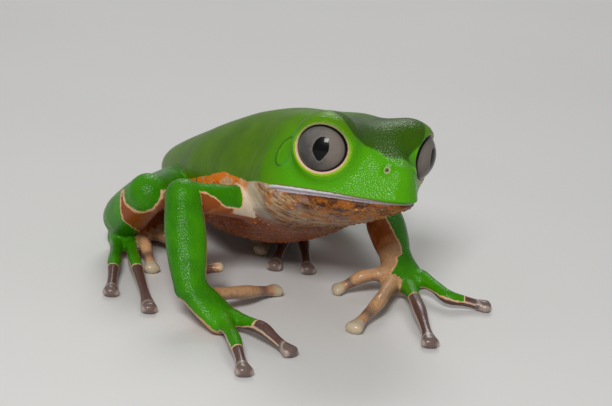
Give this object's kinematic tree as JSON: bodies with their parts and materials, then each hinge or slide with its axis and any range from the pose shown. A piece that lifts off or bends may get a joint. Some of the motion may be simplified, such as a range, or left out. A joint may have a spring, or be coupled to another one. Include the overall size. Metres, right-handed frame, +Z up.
{
  "type": "walking leaf frog model",
  "caption": "Life-size still model of a green walking leaf frog, its front raised on its arms, with long gripping fingers and large silver eyes.",
  "frame": {"origin": "middle of the bounding box's base, on the floor the frog rests on", "axes": "+Y from the snout to the vent, so the frog faces -Y; +Z up; its right side is at -X"},
  "size_m": [0.0414, 0.0578, 0.0238],
  "materials": {
    "skin": "moist green skin, painted cast",
    "digit_skin": "moist tan skin, painted cast",
    "eye": "polished clear over silver grey"
  },
  "bodies": {
    "root": {"head": "skin", "trunk": "skin", "upper_arm_R": "skin", "forearm_R": "skin", "hand_R": "skin", "thigh_R": "skin", "shank_R": "skin", "foot_R": "skin", "upper_arm_L": "skin", "forearm_L": "skin", "hand_L": "skin", "thigh_L": "skin", "shank_L": "skin", "foot_L": "skin", "finger_R_1": "digit_skin", "finger_R_2": "digit_skin", "finger_R_3": "digit_skin", "finger_R_4": "digit_skin", "finger_L_1": "digit_skin", "finger_L_2": "digit_skin", "finger_L_3": "digit_skin", "finger_L_4": "digit_skin", "toe_R_1": "digit_skin", "toe_R_2": "digit_skin", "toe_R_3": "digit_skin", "toe_R_4": "digit_skin", "toe_R_5": "digit_skin", "toe_L_1": "digit_skin", "toe_L_2": "digit_skin", "toe_L_3": "digit_skin", "toe_L_4": "digit_skin", "toe_L_5": "digit_skin", "eye_R": "eye", "eye_L": "eye"}
  },
  "joints": []
}
